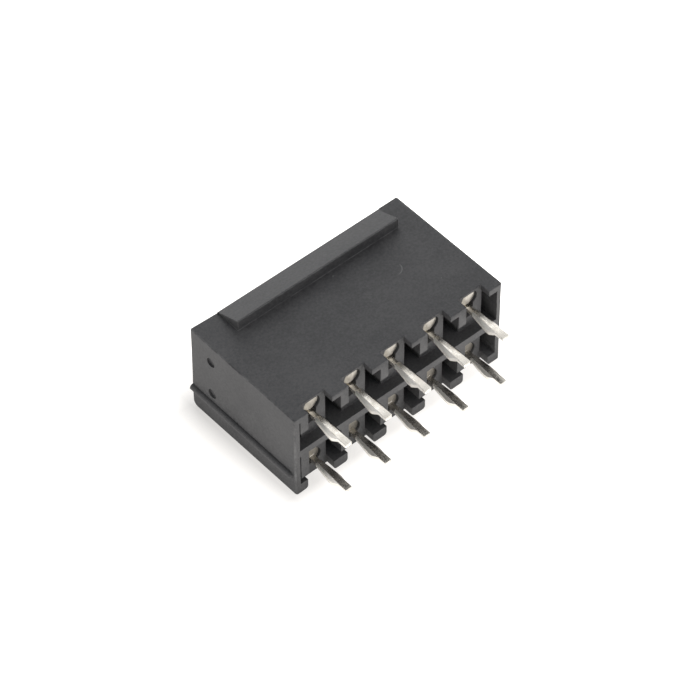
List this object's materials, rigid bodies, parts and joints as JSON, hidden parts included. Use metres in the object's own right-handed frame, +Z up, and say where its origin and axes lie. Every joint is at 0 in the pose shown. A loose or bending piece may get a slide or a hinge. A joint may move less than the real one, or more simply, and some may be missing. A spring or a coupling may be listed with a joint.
{
  "type": "idc box header",
  "caption": "Two-row box header for flat cable: black shroud with a latch ramp and straight solder tails.",
  "frame": {"origin": "centre of the whole part's footprint, solder tails included, on the long side that it rests on", "axes": "+X along the rows of contacts, +Y out of the mating opening, +Z up through the latch ramp; tails point to -Y"},
  "size_m": [0.0138, 0.0098, 0.0061],
  "materials": {
    "black_plastic": "fine moulded grain, slightly glossy at grazing angles",
    "tin_plate": "satin tin plating over copper alloy"
  },
  "bodies": {
    "root": {"housing": "black_plastic", "contact_upper_1": "tin_plate", "contact_upper_2": "tin_plate", "contact_upper_3": "tin_plate", "contact_upper_4": "tin_plate", "contact_upper_5": "tin_plate", "contact_lower_1": "tin_plate", "contact_lower_2": "tin_plate", "contact_lower_3": "tin_plate", "contact_lower_4": "tin_plate", "contact_lower_5": "tin_plate"}
  },
  "joints": []
}
